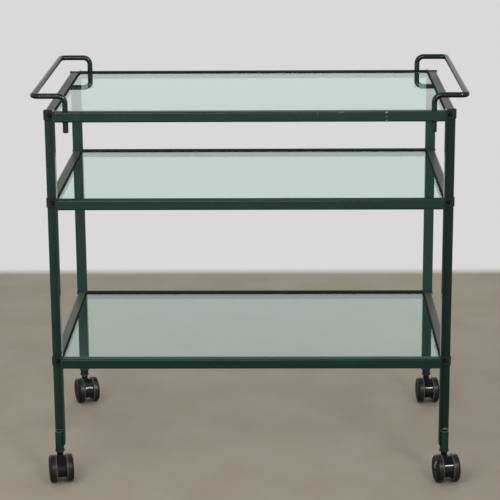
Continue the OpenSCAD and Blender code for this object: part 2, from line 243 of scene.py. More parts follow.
# %% World and lamps
world = bpy.data.worlds.new("studio")
bpy.context.scene.world = world
world.use_nodes = True
sky = world.node_tree
sky.nodes.clear()
ray = add(sky, "ShaderNodeLightPath")
way = add(sky, "ShaderNodeSeparateXYZ", Vector=add(sky, "ShaderNodeTexCoord").outputs["Generated"])
# what gloss mirrors: a brightness for each height, in front of the trolley and behind it
backness = remap(sky, way.outputs["Y"], 0.1, 0.45)
dim_front = banded(sky, way.outputs["Z"], (
    (-0.32, 0.04), (-0.2, 0.25), (0.02, 0.25), (0.12, 0.45), (0.32, 0.45), (0.4, 0.25), (0.6, 0.07)))
bright_back = banded(sky, way.outputs["Z"], (
    (-0.15, 0.08), (-0.02, 0.95), (0.32, 0.95), (0.36, 0.68), (0.5, 0.55), (0.75, 0.07)))
room = mixed(sky, backness, dim_front, bright_back)
# a ray that went straight through glass also counts as glossy, so it is taken off
mirrored = maths(sky, "SUBTRACT", ray.outputs["Is Glossy Ray"], ray.outputs["Is Transmission Ray"], True)
seen = mixed(sky, mirrored, (0.70, 0.693, 0.682, 1), room)
seen_light = add(sky, "ShaderNodeBackground", Color=seen, Strength=1.0)
# matt surfaces get most of their light from above the horizon
aloft = remap(sky, way.outputs["Z"], -0.2, 0.3, 0.26, 0.44)
even_light = add(sky, "ShaderNodeBackground", Color=(1, 1, 1, 1), Strength=aloft)
direct = maths(sky, "MAXIMUM", ray.outputs["Is Camera Ray"], ray.outputs["Is Glossy Ray"])
direct = maths(sky, "MAXIMUM", direct, ray.outputs["Is Transmission Ray"])
whole = add(sky, "ShaderNodeMixShader", in0=direct, in1=even_light.outputs[0], in2=seen_light.outputs[0])
add(sky, "ShaderNodeOutputWorld", Surface=whole.outputs[0])


def lamp(name, place, aim, size, watts, mirrored=True):
    """A soft rectangular lamp that looks at a point. Gloss shows it only when it is mirrored."""
    data = bpy.data.lights.new(name, "AREA")
    data.shape = "RECTANGLE"
    data.size, data.size_y = size
    data.energy = watts
    made = bpy.data.objects.new(name, data)
    made.location = place
    made.rotation_euler = (Vector(aim) - Vector(place)).to_track_quat("-Z", "Y").to_euler()
    made.visible_glossy = made.visible_transmission = mirrored
    bpy.context.scene.collection.objects.link(made)
    return made


lamps = [lamp("window", (-0.4, -4.1, 2.05), (0, 0, 0.4), (1.6, 0.35), 20),
         lamp("softbox_right", (1.8, -3.4, 2.7), (0, 0, 0.3), (0.9, 0.6), 42),
         lamp("fill_left", (-1.0, -1.7, 1.75), (0, 0.1, 0.45), (1.2, 1.2), 19, False),
         lamp("fill_above", (-0.5, 0.3, 2.9), (0, 0, 0.3), (2.2, 2.2), 12, False),
         lamp("fill_behind", (0.6, 2.6, 1.8), (0, 0, 0.4), (1.6, 1.6), 16, False)]
print(len(lamps), "lamps")

# %% [markdown]
# ## Paint
# The steel has a dark green gloss paint. At a low angle even a faint shine mirrors the bright
# background and turns a flat top grey. On the tops of the frames most of that grey is painted
# instead: dust and a painted reflection, each level a little differently. The front tops carry
# painted reflection and shade, the back tops painted shade, and the matt inner edges a painted
# shadow. The low rails and each leg get a lighter or darker green, as painted light and shade.
# So each paint says how much gloss it has and how much dust and painted reflection lies on it.
# A slow pattern varies its tone, rare pale specks are where it has been knocked, and the few
# clear chips and scratches have their own places.


# %% Paint
# the last colour is dust, and on the frames' tops it is also a painted reflection
SPECK, CHIP, DUST_AND_SHEEN = srgb(104, 116, 106), srgb(190, 200, 194), srgb(150, 134, 122)


def paint(name, colour, gloss=0.45, rough=0.14, dust_and_sheen=0.0, low_gloss=None, chips=()):
    """Paint on steel, with dust and a painted reflection on what faces up. low_gloss is its gloss at a low angle.
    """
    material, tree, shader = new_material(name)
    tone = remap(tree, noise(tree, 9.0, 2.0), 0.3, 0.7)
    body = mixed(tree, tone, scaled(colour, 0.94), scaled(colour, 1.06))
    specks = remap(tree, noise(tree, 340.0, 2.0, 0.6), 0.735, 0.76, 0.0, 0.5)
    worn = scratched(tree, mixed(tree, specks, body, SPECK), CHIP, chips)
    normal = add(tree, "ShaderNodeNewGeometry").outputs["Normal"]
    upness = add(tree, "ShaderNodeSeparateXYZ", Vector=normal).outputs["Z"]
    # dust and painted reflection: a paler colour on what faces up
    dust = remap(tree, upness, 0.6, 1.0, 0.0, dust_and_sheen)
    if low_gloss is not None:
        gloss = remap(tree, lowness(tree), 0.35, 0.75, gloss, low_gloss)
    feed(shader, {"Base Color": mixed(tree, dust, worn, DUST_AND_SHEEN), "Roughness": rough,
                  "Specular IOR Level": gloss})
    return material


def paints(ending, *rows):
    """A paint for each row: the key that its name starts with, its colour and the rest."""
    return {key: paint(f"{key}_{ending}", srgb(*tone), *rest) for key, tone, *rest in rows}


GREEN = srgb(34, 57, 50)
FRAME_GREEN = paint("frame_green_paint", GREEN)
# each mark: from where, to where, half its width and how strong it is
RAIL_CHIPS = (((0.2444, -0.2132, 0.7005), (0.2462, -0.2132, 0.7005), 0.9 * MM, 0.62),
              ((0.2450, -0.2135, 0.6929), (0.2456, -0.2135, 0.6929), 0.9 * MM, 0.36),
              ((0.2450, -0.2132, 0.6853), (0.2456, -0.2132, 0.6853), 1.0 * MM, 0.45),
              ((0.1618, -0.2131, 0.7008), (0.1684, -0.2131, 0.7008), 0.7 * MM, 0.22),
              ((0.1218, -0.2135, 0.7000), (0.1218, -0.2135, 0.6940), 0.5 * MM, 0.12))
CHIPPED_GREEN = paint("chipped_rail_paint", GREEN, chips=RAIL_CHIPS)
# the low rails' darker green is painted shade
LOW_RAIL_SHADE_GREEN = paint("low_rail_paint", srgb(27, 52, 43), 0.42, 0.14)
LEG_CHIPS = (((0.3602, -0.197, 0.0944), (0.3656, -0.197, 0.0948), 0.9 * MM, 0.42),)
# each leg's own green is painted light and shade: the front right darkest, the back ones lightest
LEG_LIGHT_AND_SHADE = paints("leg_paint", ("front_left", (36, 58, 51)), ("back_left", (40, 67, 59)),
                   ("back_right", (42, 70, 61)))
LEG_LIGHT_AND_SHADE["front_right"] = paint("front_right_leg_paint", srgb(32, 50, 42), chips=LEG_CHIPS)
# front rail tops, nearly without gloss: the low one's pale green is a painted reflection, the middle one's dark
# green is painted shade
FRONT_TOP_LIGHT_AND_SHADE = paints("front_top_paint", ("low", (60, 88, 80), 0.003, 0.25),
                         ("mid", (22, 50, 44), 0.003, 0.25), ("top", (36, 58, 51), 0.02, 0.25))
# back rail tops: a dark matt green, painted shade in place of what they mirror
BACK_TOP_SHADE = paint("back_top_paint", srgb(24, 38, 34), 0.002, 0.25)
# inner edges by the glass: dark and matt, a painted shadow of the gap
INNER_EDGE_SHADOW = paint("inner_edge_paint", srgb(20, 34, 29), 0.004, 0.4)
# a pale socket rim: a painted highlight on the tube's top edge
RIM_HIGHLIGHT = paint("worn_rim_paint", srgb(112, 120, 112), 0.2, 0.5)
# side rail tops: little gloss, and dust that is also a painted reflection of the bright background, more of it on
# the low shelf
SIDE_TOPS = (("low", 0.035, 0.24), ("mid", 0.018, 0.18), ("top", 0.022, 0.18))
SIDE_TOP_DUST_AND_REFLECTION = {level: paint(f"{level}_side_top_paint", GREEN, gloss, 0.30, dust_and_sheen)
                  for level, gloss, dust_and_sheen in SIDE_TOPS}
HANDLE_GREEN = paint("handle_green_paint", srgb(26, 38, 34), 0.8, 0.10, 0.10, 0.03)
WELD_GREEN = paint("weld_paint", GREEN, 0.15, 0.55)
print("paints", [m.name for m in (FRAME_GREEN, BACK_TOP_SHADE, HANDLE_GREEN)])

# %% [markdown]
# ## Glass, plastic, rubber and bare metal
# Real float glass is nearly clear through its face, and dark green and matt at its ground edge,
# where its dark matt finish is partly a painted shade of the gap by the rail. Seen at a low angle
# it mirrors the room, and the little that comes through is green. The low pane is greener: painted
# light for the green light that comes down through the upper panes onto the floor below. The
# castors are black plastic: the hood shines, the wheels are scuffed, their treads are grey with
# dust, and a ridge at a tread's inner edge is paler, partly dust and partly a painted highlight.


# %% Glass
def glass(name, tint, low_tint):
    """Clear glass. Seen at a low angle it lets less through, because of the film of dust on it."""
    material, tree, shader = new_material(name)
    grazing = remap(tree, lowness(tree), 0.5, 0.79)
    haze = remap(tree, noise(tree, 5.0, 5.0, 0.65, (1, 3, 1)), 0.45, 0.8)
    film = mixed(tree, haze, low_tint, scaled(low_tint, 1.04))
    feed(shader, {"Base Color": mixed(tree, grazing, tint, film), "Transmission Weight": 1.0,
                  "IOR": 1.52, "Roughness": 0.0})
    return material


PANE_GLASS = glass("pane_glass", (0.80, 0.95, 0.90, 1), (0.31, 0.56, 0.50, 1))
# the low pane's greener tint is painted light: the green light that comes through the upper panes onto the floor
# below
LOW_PANE_LIGHT_GLASS = glass("low_pane_glass", (0.74, 0.98, 0.94, 1), (0.28, 0.59, 0.53, 1))
# the ground edge: the glass's own dark green, made dark and matt also as painted shade of the gap by the rail
EDGE_SHADE_GLASS, tree, shader = new_material("pane_edge_glass")
grey_green = mixed(tree, noise(tree, 60.0, 3.0), srgb(30, 62, 53), srgb(40, 76, 66))
feed(shader, {"Base Color": grey_green, "Transmission Weight": 0.35, "Roughness": 0.55,
              "Specular IOR Level": 0.1})


# %% Plastics
SCRATCH = srgb(190, 192, 190)
GRAIN_DEEP = 0.00006


def plastic(name, colour, rough, grain, scuffed, scuff_colour, gloss=0.5, scratches=()):
    """Moulded plastic with a grain and, where it has been knocked, paler scuffs."""
    material, tree, shader = new_material(name)
    marks = remap(tree, noise(tree, 320.0, 6.0, 0.75), 0.58, 0.72, 0.0, scuffed)
    worn = scratched(tree, mixed(tree, marks, colour, scuff_colour), SCRATCH, scratches)
    uneven = remap(tree, noise(tree, 150.0, 3.0), 0.3, 0.7, rough * 0.8, min(1.0, rough * 1.3))
    feed(shader, {"Base Color": worn, "Roughness": uneven, "Specular IOR Level": gloss})
    bump(tree, shader, noise(tree, grain, 2.0), GRAIN_DEEP)
    return material


BLACK_PLASTIC = plastic("black_plastic", srgb(30, 31, 30), 0.42, 1500.0, 0.20, srgb(66, 66, 62))
PLATE_GREY = plastic("plate_grey", srgb(29, 41, 36), 0.55, 1500.0, 0.10, srgb(60, 72, 66))
HOOD_BLACK = plastic("hood_black", srgb(25, 22, 26), 0.11, 400.0, 0.10, srgb(56, 54, 56))
DISC_LOOK = (srgb(28, 30, 27), 0.26, 900.0, 0.6, srgb(112, 112, 106), 0.22)
DISC_BLACK = plastic("disc_black", *DISC_LOOK)
DISC_SCRATCHES = (((0.3449, -0.2370, 0.0449), (0.3426, -0.2244, 0.0298), 0.9 * MM, 1.0),
                  ((0.3426, -0.2244, 0.0298), (0.3442, -0.2331, 0.0298), 0.8 * MM, 0.6))
SCRATCHED_DISC = plastic("scratched_disc", *DISC_LOOK, DISC_SCRATCHES)
TREAD_GREY = plastic("tread_grey", srgb(37, 36, 36), 0.36, 1200.0, 0.6, srgb(88, 84, 78), 0.45)
# the tread's inner ridge: paler, partly dust and partly a painted highlight
RIDGE_DUST_AND_HIGHLIGHT = plastic("ridge_grey", srgb(80, 77, 73), 0.42, 1200.0, 0.45, srgb(120, 116, 108), 0.5)
PAD_RUBBER = plastic("pad_rubber", srgb(40, 40, 38), 0.75, 1800.0, 0.20, srgb(70, 70, 66))


# %% Metals
def metal(name, colour, rough, metallic):
    """Bare or blackened steel, dulled unevenly."""
    material, tree, shader = new_material(name)
    dull = remap(tree, noise(tree, 260.0, 4.0, 0.65), 0.35, 0.7)
    uneven = remap(tree, noise(tree, 420.0, 2.0), 0.3, 0.7, rough * 0.7, rough * 1.4)
    feed(shader, {"Base Color": mixed(tree, dull, colour, scaled(colour, 0.6)),
                  "Metallic": metallic, "Roughness": uneven})
    return material


ZINC = metal("zinc_steel", srgb(196, 196, 190), 0.34, 1.0)
BLACKENED = metal("blackened_steel", srgb(44, 47, 45), 0.48, 0.6)
print("other finishes", [m.name for m in (PANE_GLASS, BLACK_PLASTIC, TREAD_GREY, ZINC)])

# %% [markdown]
# ## From a rule to a finished piece
# A finished piece is made in metres, at its real place, and then takes over from its solid:
# it rides on the same body. Sharp corners look false, so a
# Bevel modifier rounds them a little, and a Weighted Normal modifier keeps the flats flat.


# %% Make a mesh into a finished piece
def linked(name, mesh):
    """An object for a mesh, in the scene, at the origin."""
    made = bpy.data.objects.new(name, mesh)
    bpy.context.scene.collection.objects.link(made)
    return made


def formed(name, shape):
    """An object from a bmesh, which is used up."""
    mesh = bpy.data.meshes.new(name)
    shape.to_mesh(mesh)
    shape.free()
    return linked(name, mesh)


def joined(name, pieces):
    """Puts several pieces into one mesh and takes the single ones away."""
    whole = bmesh.new()
    for piece in pieces:
        whole.from_mesh(piece.data)
        bpy.data.objects.remove(piece)
    return formed(name, whole)


def baked(piece):
    """Turns a piece with modifiers into a plain mesh."""
    bpy.context.view_layer.update()
    evaluated = piece.evaluated_get(bpy.context.evaluated_depsgraph_get())
    mesh = bpy.data.meshes.new_from_object(evaluated)
    piece.modifiers.clear()
    old = piece.data
    piece.data = mesh
    bpy.data.meshes.remove(old)
    mesh.name = piece.name
    return piece


def eased(piece, width, segments=2, angle=35, smooth=50):
    """Rounds a piece's edges by a width, and shades it smooth except over sharp edges."""
    piece.data.shade_smooth()
    if width:
        rounded = piece.modifiers.new("eased edges", "BEVEL")
        rounded.width = width
        rounded.segments = segments
        rounded.limit_method = "ANGLE"
        rounded.angle_limit = math.radians(angle)
        rounded.use_clamp_overlap = True
        baked(piece)
    piece.data.shade_smooth()
    piece.data.set_sharp_from_angle(angle=math.radians(smooth))
    flats = piece.modifiers.new("flat faces", "WEIGHTED_NORMAL")
    flats.keep_sharp = True
    return baked(piece)


def dress(piece, node, *finishes):
    """Puts a finished piece in place of its solid, with its finishes."""
    while len(piece.data.materials) < len(finishes):
        piece.data.materials.append(None)
    for i, finish in enumerate(finishes):
        piece.data.materials[i] = finish
    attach(piece, body_of_node[node])
    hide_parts(node)
    return piece


# %% Bars and plates: an outline pushed along a line
X, Y, Z = range(3)


def bar(name, outline, start, end, axis):
    """Pushes an outline, given in the other two directions, along an axis from start to end."""
    mesh = bpy.data.meshes.new(name)
    n = len(outline)
    points = [(*p[:axis], at, *p[axis:]) for at in (start, end) for p in outline]
    faces = [tuple(range(n)), tuple(range(n, 2 * n))]
    faces += [(i, (i + 1) % n, n + (i + 1) % n, n + i) for i in range(n)]
    mesh.from_pydata(points, [], faces)
    solid = bmesh.new()
    solid.from_mesh(mesh)
    bmesh.ops.recalc_face_normals(solid, faces=solid.faces)
    solid.to_mesh(mesh)
    solid.free()
    return linked(name, mesh)


def arc(u, v, radius, start, end, steps):
    """Points of an arc round (u, v), from start to end in degrees."""
    turns = [math.radians(start + (end - start) * i / steps) for i in range(steps + 1)]
    return [(u + radius * math.cos(turn), v + radius * math.sin(turn)) for turn in turns]


def rounded_outline(low, high, radius, steps=8):
    """A rectangle with round corners, counterclockwise, with its arcs split into steps."""
    (u0, v0), (u1, v1) = low, high
    centres = [(u1 - radius, v1 - radius), (u0 + radius, v1 - radius),
               (u0 + radius, v0 + radius), (u1 - radius, v0 + radius)]
    return [point for quarter, (u, v) in enumerate(centres)
            for point in arc(u, v, radius, 90 * quarter, 90 * quarter + 90, steps)]


print("helpers for bars ready")

# %% [markdown]
# ## Rails
# Each shelf frame is square steel tube with rounded edges. Seen from the front, the rounded
# top edge draws a thin bright line along each rail, so the round has to be real: eight steps
# over three millimetres. The two long rails run between the legs, and the side rails butt
# against the legs from behind. A rail has three finishes: one on its faces, one on its flat
# top, and one on its rounded upper edge towards the glass. The top finish is painted light:
# reflection and shade on the front and back tops, dust and reflection on the side tops. The
# matt dark inner edge is a painted shadow in the gap by the glass.

# %% Rails
RAIL_ROUND = 3 * MM
LEVELS = ("low", "mid", "top")
INWARD = {"front": (0, 1, 0), "back": (0, -1, 0), "left": (1, 0, 0), "right": (-1, 0, 0)}
# a face is the flat top when it looks straight up, and the inner edge when it looks up and inwards
STRAIGHT_UP, UPWARDS, INWARDS = 0.995, 0.03, 0.08
rails = []
for level in LEVELS:
    for where, inward in INWARD.items():
        node = f"rail_{level}_{where}"
        low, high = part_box(node)
        along, across = (X, Y) if where in ("front", "back") else (Y, X)
        outline = rounded_outline((low[across], low.z), (high[across], high.z), RAIL_ROUND)
        rail = bar(node + "_finish", outline, low[along], high[along], along)
        # low rails: a darker green, painted shade
        green = LOW_RAIL_SHADE_GREEN if level == "low" else FRAME_GREEN
        if node == "rail_top_front":
            green = CHIPPED_GREEN
        # the tops' finishes are painted light: reflection and shade at front and back, dust and reflection at the
        # sides
        top_lights_and_shades = {"front": FRONT_TOP_LIGHT_AND_SHADE[level], "back": BACK_TOP_SHADE}
        top_light_and_shade = top_lights_and_shades.get(where, SIDE_TOP_DUST_AND_REFLECTION[level])
        dress(eased(rail, 0), node, green, top_light_and_shade, INNER_EDGE_SHADOW)
        # the flat top gets the top finish, and the inner edge gets the painted shadow
        for face in rail.data.polygons:
            inside = face.normal.z > UPWARDS and face.normal.dot(Vector(inward)) > INWARDS
            face.material_index = 1 if face.normal.z > STRAIGHT_UP else 2 if inside else 0
        rails.append(rail)
print(len(rails), "rails")

# %% [markdown]
# ## Legs
# A leg is an angle: two flanges that meet at the corner nearest the middle of the trolley. Its
# hollow looks out to the front or the back, and holds the castor's socket and the joints.
# The rolled corner is round, and the cut ends have a small broken edge. Each leg gets a
# lighter or darker green of its own: painted light and shade.

# %% Legs
LEG_WALL, LEG_ROUND, LEG_EASE = 2.5 * MM, 1.5 * MM, 0.45 * MM
# each corner, with the signs of X and Y from it towards the middle of the trolley
CORNERS = {"front_left": (1, 1), "front_right": (-1, 1),
           "back_left": (1, -1), "back_right": (-1, -1)}
legs = []
for corner, (sx, sy) in CORNERS.items():
    node = f"leg_{corner}"
    low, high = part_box(node)
    out_x, in_x = (low.x, high.x)[::sx]
    out_y, in_y = (low.y, high.y)[::sy]
    hollow_x, hollow_y = in_x - sx * LEG_WALL, in_y - sy * LEG_WALL
    outline = [(out_x, hollow_y), (hollow_x, hollow_y), (hollow_x, out_y), (in_x, out_y)]
    outline += [(in_x - sx * LEG_ROUND * (1 - math.cos(math.radians(a))),
                 in_y - sy * LEG_ROUND * (1 - math.sin(math.radians(a)))) for a in range(0, 91, 15)]
    outline += [(out_x, in_y)]
    leg = bar(node + "_finish", outline, low.z, high.z, Z)
    legs.append(dress(eased(leg, LEG_EASE), node, LEG_LIGHT_AND_SHADE[corner]))
print(len(legs), "legs")

# %% [markdown]
# ## Glass panes
# A pane is a flat sheet with round corners and ground edges. The ground edge matters: it is
# the only place where the glass shows its own dark green, so its faces get their own finish,
# dark and matt, which is also a painted shade of the gap between pane and rail.

# %% Panes
PANE_ROUND, PANE_EASE, LEVEL = 2.5 * MM, 0.6 * MM, 0.999
panes = []
for level in LEVELS:
    node = f"glass_{level}"
    low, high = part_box(node)
    outline = rounded_outline((low.x, low.y), (high.x, high.y), PANE_ROUND, 6)
    pane = eased(bar(node + "_finish", outline, low.z, high.z, Z), PANE_EASE)
    dress(pane, node, LOW_PANE_LIGHT_GLASS if level == "low" else PANE_GLASS, EDGE_SHADE_GLASS)
    # faces that aren't level get the dark edge finish, partly painted shade
    for face in pane.data.polygons:
        face.material_index = 0 if abs(face.normal.z) > LEVEL else 1
    pane.visible_shadow = False
    pane.visible_diffuse = False
    panes.append(pane)
print(len(panes), "panes")

# %% [markdown]
# ## Handles, with Geometry Nodes
# A handle is one rod, bent four times in planes square to each other. That is a rule: a few
# corner points, a bend radius at each, and a round section. Geometry Nodes turn the rule into
# a rod: the points become a curve, Fillet Curve bends it, and Curve to Mesh gives it a body.


# %% Geometry Nodes helpers
def new_tree(name, **kinds):
    """A Geometry Nodes tree with named inputs after its geometry. Returns it and its two ends."""
    tree = bpy.data.node_groups.new(name, "GeometryNodeTree")
    tree.interface.new_socket("Geometry", in_out="INPUT", socket_type="NodeSocketGeometry")
    for key, kind in kinds.items():
        tree.interface.new_socket(key.replace("_", " "), in_out="INPUT", socket_type="NodeSocket" + kind)
    tree.interface.new_socket("Geometry", in_out="OUTPUT", socket_type="NodeSocketGeometry")
    return tree, tree.nodes.new("NodeGroupInput"), tree.nodes.new("NodeGroupOutput")


def grown(name, base, tree, **values):
    """Runs a tree on a base mesh and returns the result as a plain piece."""
    piece = linked(name, base)
    modifier = piece.modifiers.new(tree.name, "NODES")
    modifier.node_group = tree
    identifiers = {item.name: item.identifier for item in tree.interface.items_tree
                   if item.item_type == "SOCKET" and item.in_out == "INPUT"}
    for key, value in values.items():
        modifier[identifiers[key.replace("_", " ")]] = value
    return baked(piece)


def swept(tree, curve, radius, sides):
    """Gives a curve a round body with closed ends."""
    section = add(tree, "GeometryNodeCurvePrimitiveCircle", Resolution=sides, Radius=radius)
    return add(tree, "GeometryNodeCurveToMesh", **{
        "Curve": curve, "Profile Curve": section.outputs["Curve"], "Fill Caps": True})


def delivered(tree, shape, start, done):
    """Ends a tree: makes copies real, gives them the tree's material and hands them out."""
    real = add(tree, "GeometryNodeRealizeInstances", Geometry=shape)
    coated = add(tree, "GeometryNodeSetMaterial", Geometry=real.outputs["Geometry"],
                 Material=start.outputs["Material"])
    tree.links.new(coated.outputs["Geometry"], done.inputs["Geometry"])


def path_mesh(name, paths, **numbers):
    """Vertices joined by edges along each path. numbers are extra values kept on each point."""
    mesh = bpy.data.meshes.new(name)
    points, edges = [], []
    for path in paths:
        edges += [(len(points) + i, len(points) + i + 1) for i in range(len(path) - 1)]
        points += [tuple(p) for p in path]
    mesh.from_pydata(points, edges, [])
    for key, values in numbers.items():
        kept = mesh.attributes.new(key, "FLOAT", "POINT")
        kept.data.foreach_set("value", values)
    return mesh


# %% A tree that bends a rod
rod_tree, start, done = new_tree("bent rod", Rod_radius="Float", Material="Material")
bend = add(rod_tree, "GeometryNodeInputNamedAttribute", {"data_type": "FLOAT"}, Name="bend")
line = add(rod_tree, "GeometryNodeMeshToCurve", Mesh=start.outputs["Geometry"])
bent = add(rod_tree, "GeometryNodeFilletCurve", {"mode": "POLY"}, Curve=line.outputs["Curve"],
           Radius=bend.outputs["Attribute"], Count=14)
rod_body = swept(rod_tree, bent.outputs["Curve"], start.outputs["Rod radius"], 32)
delivered(rod_tree, rod_body.outputs["Mesh"], start, done)

# %% Handles
ROD_RADIUS, ROD_EASE = 5 * MM, 0.6 * MM
UPRIGHT_BEND, CORNER_BEND = 13 * MM, 12 * MM
handles = []
uprights = []
for side, sx in (("left", 1), ("right", -1)):
    node = f"handle_{side}"
    low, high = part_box(node)
    out_x, in_x = (low.x + ROD_RADIUS, high.x - ROD_RADIUS)[::sx]
    front_y, back_y = low.y + ROD_RADIUS, high.y - ROD_RADIUS
    uprights += [(in_x, front_y), (in_x, back_y)]
    rod_z = high.z - ROD_RADIUS
    corners = [(in_x, front_y, low.z), (in_x, front_y, rod_z), (out_x, front_y, rod_z),
               (out_x, back_y, rod_z), (in_x, back_y, rod_z), (in_x, back_y, low.z)]
    bends = [0, UPRIGHT_BEND, CORNER_BEND, CORNER_BEND, UPRIGHT_BEND, 0]
    base = path_mesh(node + "_path", [corners], bend=bends)
    rod = grown(node + "_finish", base, rod_tree, Rod_radius=ROD_RADIUS, Material=HANDLE_GREEN)
    handles.append(dress(eased(rod, ROD_EASE, angle=60), node, HANDLE_GREEN))
print(len(handles), "handles with", len(handles[0].data.polygons), "faces each")

# %% [markdown]
# ## Round things
# Washers, screws, buttons, rings, sockets and wheels are all round about an axis. One helper
# turns a half section about an axis, the way a lathe would.


# %% Lathe
def strips(shape, rings):
    """Closes the gap from each ring to the next with faces. A ring can also be one point."""
    for one, two in zip(rings, rings[1:]):
        count = max(len(one), len(two))
        for i in range(count):
            j = (i + 1) % count
            corners = (one[i % len(one)], one[j % len(one)], two[j % len(two)], two[i % len(two)])
            shape.faces.new(list(dict.fromkeys(corners)))


def turned(name, section, steps=48, place=None):
    """Turns a section of (radius, height) about Z. A radius of 0 closes it at the axis."""
    lathe = bmesh.new()
    rings = []
    turns = [2 * math.pi * i / steps for i in range(steps)]
    for radius, height in section:
        if radius == 0:
            rings.append([lathe.verts.new((0, 0, height))])
        else:
            rings.append([lathe.verts.new((radius * math.cos(turn), radius * math.sin(turn), height))
                          for turn in turns])
    if section[0][0] > 0 and section[-1][0] > 0:
        rings.append(rings[0])
    strips(lathe, rings)
    bmesh.ops.recalc_face_normals(lathe, faces=lathe.faces)
    if place is not None:
        lathe.transform(place)
    return formed(name, lathe)


def in_mm(*points):
    """A section of (radius, height) that is written in millimetres."""
    return [(radius * MM, height * MM) for radius, height in points]


def round_bar(radius, low, high, ease, hole=0):
    """The section of a round bar with eased ends, or of a tube when it has a hole."""
    return [(hole, low), (radius - ease, low), (radius, low + ease),
            (radius, high - ease), (radius - ease, high), (hole, high)]


# %% [markdown]
# ## Corner joints
# In each leg, at each shelf, a dark grey-green plate lies on the flange. A screw with a dark
# washer goes through it into the end of the side rail. There are twelve of each. The washers
# and screws are all alike, so one is made and Geometry Nodes put a copy at each joint, turned
# to face front or back.

# %% Plates
PLATE_THICK, PLATE_ROUND, PLATE_EASE = 3 * MM, 0.1 * MM, 0.5 * MM
joints = []
for level in LEVELS:
    node = f"corner_plates_{level}"
    low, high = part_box(node)
    made = []
    for corner, (sx, sy) in CORNERS.items():
        rail_low, rail_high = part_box(f"rail_{level}_{'left' if sx > 0 else 'right'}")
        leg_low, leg_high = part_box(f"leg_{corner}")
        face_y = (rail_low.y if sy > 0 else rail_high.y) - sy * (LEG_WALL + PLATE_THICK)
        back_y = face_y + sy * PLATE_THICK
        out_x = low.x if sx > 0 else high.x
        in_x = (leg_high.x if sx > 0 else leg_low.x) - sx * LEG_WALL
        outline = rounded_outline((min(out_x, in_x), min(face_y, back_y)),
                                  (max(out_x, in_x), max(face_y, back_y)), PLATE_ROUND, 1)
        plate = bar(f"plate_{level}_{corner}", outline, low.z, high.z, Z)
        made.append(eased(plate, PLATE_EASE))
        turn = 0 if sy > 0 else 180
        joints.append(((rail_low.x + rail_high.x) / 2, face_y, (low.z + high.z) / 2, turn))
    dress(eased(joined(node + "_finish", made), 0), node, PLATE_GREY)

# %% A tree that puts a fastener at each point
fastener_tree, start, done = new_tree("fasteners", Fastener="Object", Material="Material")
turn = add(fastener_tree, "GeometryNodeInputNamedAttribute", {"data_type": "FLOAT"}, Name="turn")
around = add(fastener_tree, "ShaderNodeCombineXYZ", Z=turn.outputs["Attribute"])
shape = add(fastener_tree, "GeometryNodeObjectInfo", Object=start.outputs["Fastener"])
each = add(fastener_tree, "GeometryNodeInstanceOnPoints", Points=start.outputs["Geometry"],
           Instance=shape.outputs["Geometry"], Rotation=around.outputs["Vector"])
delivered(fastener_tree, each.outputs["Instances"], start, done)


def repeated(node, pattern, places, finish):
    """Copies of one pattern piece at (x, y, z, turn in degrees), made into one finished piece."""
    turns = [math.radians(p[3]) for p in places]
    base = path_mesh(node + "_points", [[p[:3]] for p in places], turn=turns)
    piece = grown(node + "_finish", base, fastener_tree, Fastener=pattern, Material=finish)
    bpy.data.objects.remove(pattern)
    piece.data.shade_smooth()
    piece.data.set_sharp_from_angle(angle=math.radians(40))
    return dress(piece, node, finish)


# %% Washers and screws
LIE_DOWN = Matrix.Rotation(math.radians(90), 4, "X")
WASHER_HIGH = KEY_RADIUS = 1.4 * MM
KEY_DEPTH = 1.0 * MM
washer_section = in_mm(
    (2.6, 0), (4.3, 0), (4.3, 0.5), (4.15, 1.0), (3.9, 1.3), (3.6, 1.4), (3.3, 1.3), (2.6, 1.1))
washer = turned("washer_pattern", washer_section, 40, LIE_DOWN)
washers = repeated("joint_washers", washer, joints, BLACKENED)


def socket_screw(name, section, key_radius, key_depth, steps=36):
    """A screw with a domed head and a six-sided socket in it. The section ends at the rim."""
    screw = turned(name, section, steps)
    shape = bmesh.new()
    shape.from_mesh(screw.data)
    rings = [list(shape.verts)[-steps:]]
    top = section[-1][1]
    for height in (top, top - key_depth):
        ring = []
        for i in range(steps):
            a = 2 * math.pi * i / steps
            flat = key_radius * math.cos(math.pi / 6) / math.cos((a % (math.pi / 3)) - math.pi / 6)
            ring.append(shape.verts.new((flat * math.cos(a), flat * math.sin(a), height)))
        rings.append(ring)
    strips(shape, rings)
    shape.faces.new(rings[-1])
    bmesh.ops.recalc_face_normals(shape, faces=shape.faces)
    shape.transform(LIE_DOWN)
    shape.to_mesh(screw.data)
    shape.free()
    return screw


screw_places = [(x, y - (1 if turn == 0 else -1) * WASHER_HIGH, z, turn) for x, y, z, turn in joints]
screw_section = in_mm(
    (0, -20), (2.1, -20), (2.5, -19.4), (2.5, 0), (3.2, 0), (3.2, 0.6), (3.05, 1.1), (2.7, 1.5),
    (2.2, 1.75), (1.8, 1.8))
screw = socket_screw("screw_pattern", screw_section, KEY_RADIUS, KEY_DEPTH)
screws = repeated("joint_screws", screw, screw_places, BLACKENED)
print(len(washers.data.polygons), "faces of washers,", len(screws.data.polygons), "of screws")

# %% Buttons under the middle shelf
BUTTON_IN = 11 * MM
button_section = in_mm(
    (0, 5), (1.2, 5), (1.5, 4.7), (1.5, 0), (3.25, 0), (3.2, -0.5), (2.9, -1.0), (2.3, -1.3),
    (1.2, -1.4), (0, -1.4))
button = turned("button_pattern", button_section, 36)
places = []
for where in ("front", "back"):
    low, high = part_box(f"rail_mid_{where}")
    middle = (low.y + high.y) / 2
    places += [(x, middle, low.z, 0) for x in (low.x + BUTTON_IN, high.x - BUTTON_IN)]
repeated("rail_buttons", button, places, BLACK_PLASTIC)
print(len(places), "buttons")

